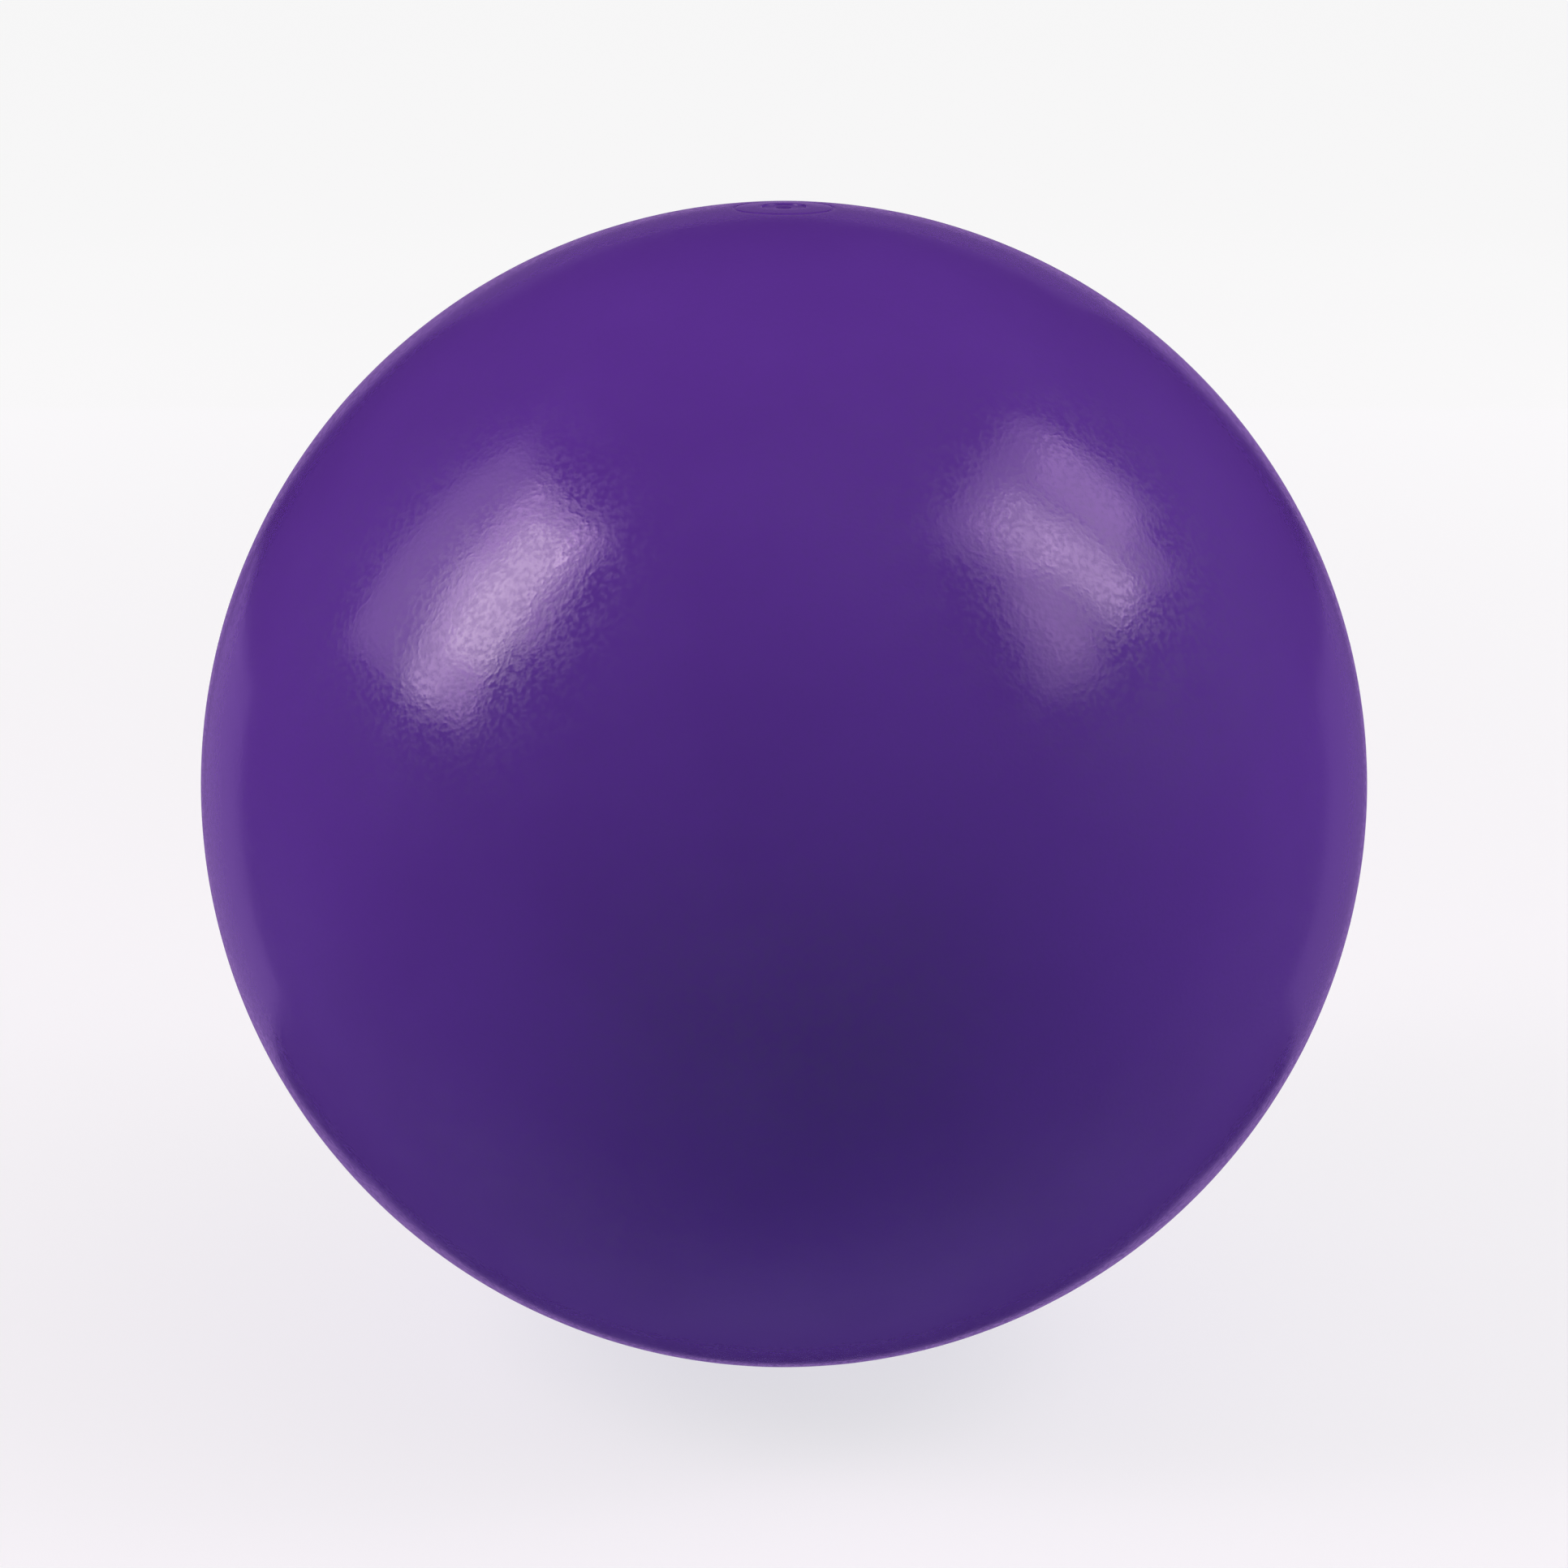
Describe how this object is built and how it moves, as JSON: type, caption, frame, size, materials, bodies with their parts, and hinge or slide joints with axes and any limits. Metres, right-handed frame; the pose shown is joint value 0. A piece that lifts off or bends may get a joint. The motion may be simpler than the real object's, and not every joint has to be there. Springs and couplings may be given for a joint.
{
  "type": "playground rubber ball",
  "caption": "Inflatable thread-wound rubber play ball with a lightly grained cover and a self-sealing needle valve at its top pole.",
  "frame": {"origin": "centre of the ball", "axes": "+Z leaves the ball through the middle of the valve; X and Y are free directions across it"},
  "size_m": [0.2159, 0.216, 0.2159],
  "materials": {
    "cover_rubber": "satin, fine moulded grain",
    "carcass_rubber": "matt",
    "winding_thread": "latex-dipped thread",
    "butyl": "smooth matt",
    "patch_fabric": "rubberised woven cotton",
    "plug_rubber": "smooth satin"
  },
  "bodies": {
    "ball": {"cover": "cover_rubber", "cushion_ply": "carcass_rubber", "thread_winding": "winding_thread", "bladder": "butyl", "valve_patch": "patch_fabric", "valve_housing": "butyl"},
    "plug": {"valve_plug": "plug_rubber"}
  },
  "joints": [
    {"name": "valve_plug_pull", "type": "slide", "parent": "ball", "child": "plug", "axis": [0, 0, 1], "range_m": [0, 0.03]}
  ]
}
